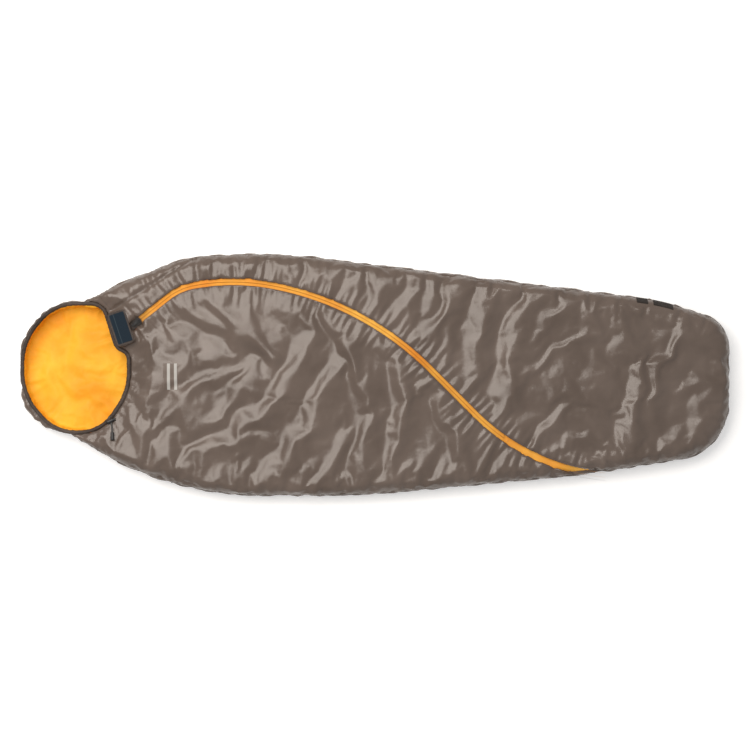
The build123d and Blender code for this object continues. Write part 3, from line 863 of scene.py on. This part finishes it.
zip_now, gap_now = nearest_on(ZIP_TREE, co)
toward = co[:, :2] - zip_points[zip_now]
length = np.maximum(np.linalg.norm(toward, axis=1), 1e-6)
inside_run = (zip_now > 0) & (zip_now < len(zip_points) - 1)
crowd = (gap_now < LIP_HALF) & (co[:, 2] > TAPE_LOW) & ~in_channel & inside_run
co[crowd, :2] = zip_points[zip_now[crowd]] + toward[crowd] / length[crowd, None] * LIP_HALF
lean = (gap_now >= LIP_HALF) & (gap_now < 0.03) & (co[:, 2] > TAPE_TOP) & ~in_channel & ~crowd
gap_new = np.maximum(0.0096, gap_now - 0.0036 * fall(gap_now - LIP_HALF, 0.02))
heading = toward[lean] / length[lean, None]
co[lean, :2] = zip_points[zip_now[lean]] + heading * gap_new[lean, None]
# the tape's tail lies in a shallow trench of its own where it runs over the edge
tail = (zip_run[zip_index] > TAIL_FROM) & (zip_gap < 0.0125)
co[tail] = rest_co[tail] - rest_normal[tail] * 0.0045
SEAM = [(-0.854, 0.246), (-0.814, 0.200), (-0.556, 0.364)]


def groove(points, route, width, depth):
    """Presses a sewn line into the fabric."""
    for a, b in zip(route, route[1:]):
        near = np.exp(-((segment_distance(points, a, b) / width) ** 2))
        points[:, 2] -= depth * near * (points[:, 2] > FRONT_BOTTOM + 0.006)


groove(co, SEAM[1:], 0.006, 0.006)
set_points(front.data, co)
smooth_shade(front)

# a strip of the fixed side, next to the fold, is cut into the flap's piece
beyond, along = across_fold(centre), along_fold(centre)
strip = (beyond < 0.001) & (beyond > -0.036) & (along < FLAP_LENGTH) & (along > -0.03)
flap_part = flap_side | strip
_, face_edge_gap = nearest_on(EDGE_TREE, centre)
_, face_rim_gap = nearest_on(RIM_TREE, centre)
under &= (flap_part | (face_edge_gap > 0.03)) & (face_rim_gap > 0.018)


def bend(piece):
    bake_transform(piece)


front_fabric = cut_piece(front, "front_fabric", ~under & ~flap_part)
flap_fabric = cut_piece(front, "flap_fabric", ~under & flap_part)
front_ceiling = cut_piece(front, "front_inner_lining", under & ~flap_part)
flap_inner = cut_piece(front, "flap_inner_lining", under & flap_part)

lower = voxel_skin("lower_skin", LOWER, LOWER_VOXEL)
drop_islands(lower)
relax(lower.data, 2)
centre, normal = face_arrays(lower.data)
LINED = ["back_lining", "side_lining", "hood_lining"]
OUTER = ["back_shell", "side_shell", "hood_shell"]
inner = nearest_distance(surface_of(LINED), centre) < nearest_distance(surface_of(OUTER), centre)
hood_floor = inner & (centre[:, 0] < -0.73)
bottom = (centre[:, 2] < 0.004) & (normal[:, 2] < -0.5)
co = points_of(lower.data)
rest_co = co.copy()
rim_index, rim_gap = nearest_on(RIM_TREE, co)
edge_index, edge_gap = nearest_on(EDGE_TREE, co)
hold = np.full(len(co), 0.05)
hold = np.maximum(hold, np.clip((0.010 - co[:, 2]) / 0.004, 0, 1))
hold = np.maximum(hold, (co[:, 2] > FRONT_BOTTOM - 0.004) & (co[:, 0] > -0.80))
hold = np.maximum(hold, fall(rim_gap, 0.010) * (co[:, 2] > 0.062))
hold = np.maximum(hold, near_loops(co))
growth = np.where(co[:, 0] < -0.74, 0.75, 0.85)
outward = vertex_normals(lower.data)
seeds = smooth_noise(co, 0.04, 5) * 0.002
seeds += ripples(rim_points, 0.016, 0.10, 0.005, rim_index, rim_gap, 6)
seeds += ripples(edge_points, 0.034, 0.06, 0.004, edge_index, edge_gap, 7) * (co[:, 0] > -0.8)
co += outward * (seeds * (hold < 0.9))[:, None]
set_points(lower.data, co)
puff(lower, ~inner & ~bottom, hold, growth, 18, 0.5)
floor_hold = np.where(rest_co[:, 2] > 0.055, 1.0, 0.04)
puff(lower, hood_floor, floor_hold, growth, 18, 1.2)
co = points_of(lower.data)
moved = co - rest_co
size = np.linalg.norm(moved, axis=1)
cap = np.where((rest_co[:, 2] > 0.035) & (rest_co[:, 0] > -0.84), 0.0035, 0.012)
co = rest_co + moved * np.minimum(1, cap / np.maximum(size, 1e-9))[:, None]
co[:, 2] = np.maximum(co[:, 2], np.minimum(rest_co[:, 2], 0.0))
groove(co, SEAM[:2], 0.005, 0.004)
set_points(lower.data, co)
smooth_shade(lower)
outer_fabric = cut_piece(lower, "back_and_side_fabric", ~inner)
inner_lining = cut_piece(lower, "body_lining", inner & ~hood_floor)
hood_lining = cut_piece(lower, "hood_inner_lining", hood_floor)

for piece in (front_fabric, outer_fabric, inner_lining, hood_lining, front_ceiling):
    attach(piece, "bag")
for piece in (flap_fabric, flap_inner):
    bend(piece)
for piece in (front_fabric, flap_fabric, outer_fabric):
    dress(piece, SHELL)
for piece in (inner_lining, hood_lining, front_ceiling, flap_inner):
    dress(piece, LINING)
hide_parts("front_shell", "front_insulation")
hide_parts("front_lining")
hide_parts("flap_shell", "flap_insulation")
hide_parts("flap_lining")
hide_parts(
    "back_shell", "back_insulation", "side_shell", "side_insulation", "hood_shell"
)
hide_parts(*HOOD_INSULATION)
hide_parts("back_lining", "side_lining")
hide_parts("hood_lining")


# ------------------------------------------------------------------ draft tube
def draft_tube():
    tube = voxel_skin("draft_tube_fabric", ["draft_tube"], 0.004)
    drop_islands(tube)
    relax(tube.data, 2)
    co = points_of(tube.data)
    index, gap = nearest_on(ZIP_TREE, co)
    waves = ripples(zip_points, 0.014, 0.06, 0.0022, index, gap, 8)
    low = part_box("draft_tube")[0][2]
    share = np.clip((co[:, 2] - low) / 0.007, 0, 1)
    co[:, 2] -= (0.0015 + np.abs(waves)) * (1 - share)
    set_points(tube.data, co)
    smooth_shade(tube)
    dress(tube, LINING)
    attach(tube, "bag")
    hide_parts("draft_tube")


draft_tube()


# ------------------------------------------------------------------ rim binding
def tube_mesh(name, middles, wide, tall, seed):
    """An open gathered tube along level points, closed at both ends."""
    count, around = len(middles), 14
    flow = np.gradient(middles, axis=0)
    flow /= np.linalg.norm(flow, axis=1)[:, None]
    side = np.column_stack([-flow[:, 1], flow[:, 0]])
    height = (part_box("neck_rim_channel")[0][2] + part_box("neck_rim_channel")[1][2]) / 2
    verts, faces = [], []
    for i in range(count):
        for k in range(around):
            angle = 2 * math.pi * k / around
            base = Vector((*middles[i], k * 0.004))
            gather = 1 + 0.20 * noise.noise(base / 0.0065 + Vector((seed, 0, 0)))
            gather += 0.10 * noise.noise(base / 0.025)
            out = side[i] * math.cos(angle) * wide * gather
            x, y = middles[i] + out
            verts.append((x, y, height + math.sin(angle) * tall * gather))
    for i in range(count - 1):
        for k in range(around):
            a, b = i * around + k, i * around + (k + 1) % around
            faces.append((a, b, b + around, a + around))
    faces.append(tuple(reversed(range(around))))
    faces.append(tuple(range((count - 1) * around, count * around)))
    tube = mesh_object(name, verts, faces)
    dress(tube, RIM)
    return tube


def rim():
    hood_names = [f"hood_rim_channel_{i}" for i in range(1, 5)]
    level = np.column_stack([rim_points, np.full(len(rim_points), 0.0745)])
    on_flap = nearest_distance(surface_of(["neck_rim_channel"]), level) < nearest_distance(
        surface_of(hood_names), level
    )
    on_flap |= (across_fold(level) < 0.001) & (across_fold(level) > -0.032) & (level[:, 0] > -0.86)
    start = next(i for i in range(len(level)) if on_flap[i] and not on_flap[i - 1])
    rolled = np.roll(rim_points, -start, axis=0)
    length = int(np.argmin(np.roll(on_flap, -start)))
    neck = tube_mesh("neck_rim_binding", rolled[:length], 0.0070, 0.0052, 1.0)
    rest_of_rim = np.vstack([rolled[length - 1 :], rolled[:1]])
    hood = tube_mesh("hood_rim_binding", rest_of_rim, 0.0062, 0.0052, 2.0)
    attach(hood, "bag")
    bend(neck)
    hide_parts(*hood_names)
    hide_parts("neck_rim_channel")


rim()


def zip_facing():
    """The turned-under patch of cloth that closes the front at the zip's neck end."""
    profile = [(0.0, 1.0), (0.35, 1.0), (0.7, 0.95), (0.9, 0.7), (1.0, 0.0)]
    profile += [(share, -tall) for share, tall in reversed(profile[:-1])]
    around, long, wide, thick = 40, 0.019, 0.0135, 0.0009
    turn = math.radians(ZIP_HEADING)
    level = TAPE_LOW - 0.0012
    verts, faces = [], []
    for share, tall in profile:
        for k in range(around):
            angle = 2 * math.pi * k / around
            c, s = math.cos(angle), math.sin(angle)
            along = math.copysign(abs(c) ** 0.6, c) * share * long - 0.006
            across = math.copysign(abs(s) ** 0.6, s) * share * wide
            x = ZIP_START[0] + along * math.cos(turn) - across * math.sin(turn)
            y = ZIP_START[1] + along * math.sin(turn) + across * math.cos(turn)
            z = level + tall * thick + 0.0006 * noise.noise(Vector((x, y, 0)) / 0.006)
            verts.append((x, y, z))
    for i in range(len(profile) - 1):
        for k in range(around):
            a, b = i * around + k, i * around + (k + 1) % around
            faces.append((a, a + around, b + around, b))
    facing = mesh_object("zip_neck_facing", verts, faces, weld=0.00002)
    dress(facing, RIM)
    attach(facing, "bag")


zip_facing()


# ------------------------------------------------------------------ stitches
def drop_onto(tree, x, y, default):
    """The highest surface point under (x, y) and its normal, or a level point at default."""
    hit = tree.ray_cast(Vector((x, y, 0.2)), Vector((0, 0, -1)))
    return (hit[0], hit[1]) if hit[0] is not None else (Vector((x, y, default)), Vector((0, 0, 1)))


def stitches(name, spots, length, width, material):
    """Small rounded stitches at (point, normal, heading)."""
    verts, faces = [], []
    for point, up, heading in spots:
        forward = Vector((math.cos(heading), math.sin(heading), 0))
        forward = (forward - up * forward.dot(up)).normalized()
        across = up.cross(forward)
        base = len(verts)
        for along, ring in ((-0.5, 0), (-0.3, 1), (0.3, 1), (0.5, 0)):
            centre = point + forward * (length * along)
            if not ring:
                verts.append(centre - up * width * 0.3)
                continue
            for k in range(4):
                angle = math.pi / 2 * k
                offset = across * math.cos(angle) + up * math.sin(angle)
                verts.append(centre + offset * width * 0.5)
        for k in range(4):
            n = (k + 1) % 4
            faces.append((base, base + 1 + k, base + 1 + n))
            faces.append((base + 1 + k, base + 5 + k, base + 5 + n, base + 1 + n))
            faces.append((base + 9, base + 5 + n, base + 5 + k))
    piece = mesh_object(name, verts, faces)
    dress(piece, material)
    return piece


def tree_from(objects):
    bm = bmesh.new()
    for obj in objects:
        bm.from_mesh(obj.data)
    tree = BVHTree.FromBMesh(bm)
    bm.free()
    return tree


def beside_zip(s, offset):
    """The point at run s along the zip, offset to its left, and the zip's heading there."""
    i = min(int(s / ZIP_SPACING), len(zip_points) - 1)
    angle = zip_angles[i]
    x = zip_points[i][0] - math.sin(angle) * offset
    y = zip_points[i][1] + math.cos(angle) * offset
    return x, y, angle


def zip_row(tree, offset, pitch, lift, first, last, default):
    """Places for a row of stitches beside the zip."""
    spots = []
    for s in np.arange(first, last, pitch):
        x, y, angle = beside_zip(s, offset)
        point, up = drop_onto(tree, x, y, default)
        spots.append((point + up * lift, up, angle))
    return spots


def zip_details():
    fabric = tree_from([front_fabric, flap_fabric, outer_fabric])
    tapes = surface_of(["zip_tape_fixed", "zip_tape_flap", "zip_tape_tail"])
    ends = (0.006, zip_run[-1] - 0.004)
    level = np.column_stack([zip_points, np.zeros(len(zip_points))])
    foot = float(zip_run[np.argmin(np.abs(along_fold(level) - FLAP_LENGTH))])
    for label, body, side, span in (
        ("fixed", "bag", 1, ends),
        ("flap", "front_flap", -1, (ends[0], foot - 0.004)),
        ("tail", "bag", -1, (foot + 0.004, ends[1])),
    ):
        row = zip_row(tapes, side * 0.0068, 0.0042, -0.0002, *span, TAPE_TOP)
        piece = stitches(f"zip_stitches_{label}", row, 0.003, 0.0007, ZIP_THREAD)
        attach(piece, body)
        # dark stitches beside the zip, their colour partly painted seam shade
        row = zip_row(fabric, side * 0.0165, 0.0046, 0.0002, *span, TOP)
        piece = stitches(f"seam_stitches_{label}", row, 0.0032, 0.0008, THREAD_AND_SEAM_SHADE)
        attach(piece, body)
    # the teeth start past the slider and end before the bottom stop
    for label, body, side, shift in (("fixed", "bag", 1, 0.0), ("flap", "front_flap", -1, 0.001)):
        row = []
        for s in np.arange(0.034, min(foot, 1.352), 0.002):
            x, y, angle = beside_zip(s + shift, side * 0.0009)
            row.append((Vector((x, y, TAPE_TOP - 0.0010)), Vector((0, 0, 1)), angle + math.pi / 2))
        piece = stitches(f"zip_teeth_{label}", row, 0.0026, 0.0012, COIL)
        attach(piece, body)


zip_details()


def seam_line():
    tree = tree_from([front_fabric, flap_fabric, outer_fabric])
    spots = []
    for a, b in zip(SEAM, SEAM[1:]):
        span = math.hypot(b[0] - a[0], b[1] - a[1])
        angle = math.atan2(b[1] - a[1], b[0] - a[0])
        for s in np.arange(0.002, span, 0.0044):
            x, y = (a[k] + (b[k] - a[k]) * s / span for k in (0, 1))
            point, up = drop_onto(tree, x, y, 0.07)
            spots.append((point + up * 0.0002, up, angle))
    # dark stitches in the shoulder seam's groove, their colour partly painted seam shade
    piece = stitches("shoulder_seam_stitches", spots, 0.0034, 0.0009, THREAD_AND_SEAM_SHADE)
    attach(piece, "bag")


seam_line()


# ------------------------------------------------------------------ chest patch
def chest_patch():
    """A thin plain print that follows the fabric under it."""
    tree = tree_from([front_fabric, flap_fabric])
    across, along = 22, 40
    verts, faces = [], []
    for j in range(along + 1):
        for i in range(across + 1):
            u, v = i / across, j / along
            x = PATCH_LOW[0] + (PATCH_HIGH[0] - PATCH_LOW[0]) * u
            y = PATCH_LOW[1] + (PATCH_HIGH[1] - PATCH_LOW[1]) * v
            point, _ = drop_onto(tree, x, y, TOP)
            edge = min(i, across - i, j, along - j) == 0
            verts.append((x, y, point.z + (0.0001 if edge else 0.0006)))
    for j in range(along):
        for i in range(across):
            a = j * (across + 1) + i
            faces.append((a, a + 1, a + across + 2, a + across + 1))
    mesh = bpy.data.meshes.new("chest_print")
    mesh.from_pydata(verts, [], faces)
    mesh.update()
    patch = make_object("chest_print", mesh)
    smooth_shade(patch)
    dress(patch, PRINT)
    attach(patch, "front_flap")
    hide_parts("chest_patch")


chest_patch()


# ------------------------------------------------------------------ cords
LOCK_CENTRE = Vector((-0.818, -0.142, 0.0875))
LOCK_A = Vector((0.912, 0.410, 0))
LOCK_B = Vector((-0.410, 0.912, 0))
BEAD_START = Vector((-0.8109, -0.1771, 0.0959))
BEAD_AXIS = Vector((0.074, -0.95, 0.302))
CORD_FOOT = -0.0082


def lock_point(along, across, up):
    return LOCK_CENTRE + LOCK_A * along + LOCK_B * across + Vector((0, 0, up))


def drawcord(name, side):
    along = 0.001 + side * 0.0013
    aside = BEAD_AXIS.cross(Vector((0, 0, 1))).normalized() * (-side * 0.0013)
    route = [
        lock_point(along, 0.011, CORD_FOOT),
        lock_point(along, 0.011, 0),
        lock_point(along, -0.010, 0),
        BEAD_START + aside,
    ]
    curve = bpy.data.curves.new(name + "_curve", "CURVE")
    curve.dimensions = "3D"
    curve.bevel_depth = 0.0012
    curve.bevel_resolution = 4
    curve.resolution_u = 24
    spline = curve.splines.new("NURBS")
    spline.points.add(len(route) - 1)
    for point, place_at in zip(spline.points, route):
        point.co = (*place_at, 1)
    spline.order_u = 3
    spline.use_endpoint_u = True
    cord = make_object(name + "_cord", curve)
    curve.materials.append(CORD_LOOK)
    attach(cord, "bag")
    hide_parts(name)
    return cord, route


for name, side, length in (("drawcord_strand_a", -1, 0.0545), ("drawcord_strand_b", 1, 0.0554)):
    cord, route = drawcord(name, side)

# ------------------------------------------------------------------ CAD pieces that stay
FINISH = {
    TAPE: ["zip_tape_fixed", "zip_tape_flap", "zip_tape_tail"],
    COIL: ["zip_coil_fixed", "zip_coil_flap", "zip_bottom_stop"],
    ENAMEL: ["zip_top_stop_fixed", "zip_top_stop_flap", "slider_body", "pull_tab"],
    RIM: ["neck_tab", "neck_tab_foot"],
    TOUCH: ["neck_loop_patch", "neck_tab_hook_patch"],
    LABEL: ["neck_tab_label"],
    PLASTIC: ["cord_lock_body", "cord_lock_plunger", "cord_end_bead", "cord_eyelet"],
    CORD_LOOK: ["hood_drawcord", "neck_drawcord"],
    WEBBING: ["hang_loop_1", "hang_loop_2"],
}
for material, names in FINISH.items():
    for name in names:
        mesh = NODES[name].data
        mesh.materials.clear()
        mesh.materials.append(material)

for leftover in (front, lower):
    bpy.data.objects.remove(leftover)

# ------------------------------------------------------------------ light, floor and camera
scene = bpy.context.scene


def softbox(name, place_at, aim, wide, tall, power):
    light = bpy.data.lights.new(name, "AREA")
    light.color = (1.0, 0.935, 0.865)
    light.shape = "RECTANGLE"
    light.size, light.size_y = wide, tall
    light.energy = power
    lamp = bpy.data.objects.new(name, light)
    scene.collection.objects.link(lamp)
    lamp.location = place_at
    lamp.rotation_euler = (Vector(aim) - Vector(place_at)).to_track_quat("-Z", "Y").to_euler()


softbox("key_softbox", (-1.3, 0.9, 3.0), (0.0, 0, 0), 2.2, 2.7, 92)
softbox("foot_softbox", (0.2, 1.6, 3.2), (0.8, 0, 0), 0.7, 1.6, 18)

world = bpy.data.worlds.new("studio")
scene.world = world
world.use_nodes = True
world.node_tree.nodes["Background"].inputs["Color"].default_value = (1, 1, 1, 1)
world.node_tree.nodes["Background"].inputs["Strength"].default_value = 0.5


def floor():
    mesh = bpy.data.meshes.new("floor")
    reach = 60.0
    mesh.from_pydata(
        [(-reach, -reach, 0), (reach, -reach, 0), (reach, reach, 0), (-reach, reach, 0)],
        [],
        [(0, 1, 2, 3)],
    )
    mesh.update()
    obj = make_object("floor", mesh)
    obj.location.z = -0.0005
    material, shader, tree = new_material("pale_floor", (0.95, 0.95, 0.95), 0.9, 0.2)
    shade = noise_field(tree, place(tree), 0.7, 2.0)
    blend_colours(tree, shader, shade, (0.94, 0.94, 0.94), (0.96, 0.96, 0.96))
    shader.inputs["Emission Color"].default_value = (1, 1, 1, 1)
    shader.inputs["Emission Strength"].default_value = 0.3
    mesh.materials.append(material)


floor()

scene.view_settings.view_transform = "Standard"
camera = bpy.data.cameras.new("camera")
camera.lens = 85
camera.sensor_width = 36
camera_object = bpy.data.objects.new("camera", camera)
scene.collection.objects.link(camera_object)
camera_object.location = (0, 0, 5.56)
scene.camera = camera_object
